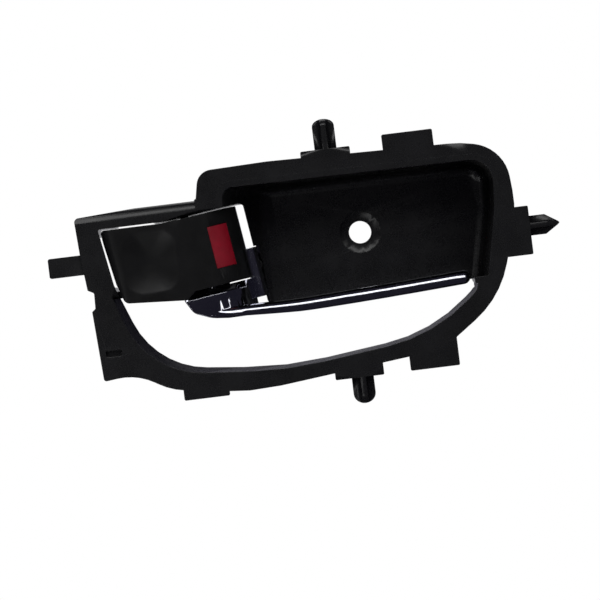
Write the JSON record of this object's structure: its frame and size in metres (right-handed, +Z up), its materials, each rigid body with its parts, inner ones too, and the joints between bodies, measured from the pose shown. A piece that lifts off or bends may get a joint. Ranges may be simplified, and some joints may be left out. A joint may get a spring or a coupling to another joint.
{
  "type": "car interior door handle",
  "caption": "Inside door release: black frame with a finger recess and locating pins, slim chrome pull lever, and a thumb lock lever with a red indicator.",
  "frame": {"origin": "axis of the fixing screw's hole at the seat of the screw's head, in the back of the recess", "axes": "+X along the handle from the lock lever towards the free end of the pull lever, +Z up, -Y out of the front"},
  "size_m": [0.1849, 0.0386, 0.1037],
  "materials": {
    "frame_plastic": "fine grain",
    "bright_plating": "bright",
    "lever_plastic": "satin gloss",
    "red_plastic": "satin gloss",
    "pin_steel": "plain",
    "bumper_rubber": "matte"
  },
  "bodies": {
    "frame": {"frame": "frame_plastic", "hinge_pin": "pin_steel", "return_spring": "pin_steel", "rest_bumper": "bumper_rubber"},
    "pull": {"pull_lever": "bright_plating"},
    "lock": {"lock_lever": "lever_plastic", "lock_indicator": "red_plastic"}
  },
  "joints": [
    {"name": "pull_hinge", "type": "hinge", "parent": "frame", "child": "pull", "pos_m": [-0.061, -0.0095, -0.0029], "axis": [0.1305, 0, -0.9914], "range_deg": [0, 28], "stiffness_Nm_per_rad": 0.15, "springref_deg": -57.3, "deforming": ["return_spring"]},
    {"name": "lock_hinge", "type": "hinge", "parent": "frame", "child": "lock", "pos_m": [-0.061, -0.0095, -0.0029], "axis": [-0.1305, 0, 0.9914], "range_deg": [0, 32]}
  ]
}
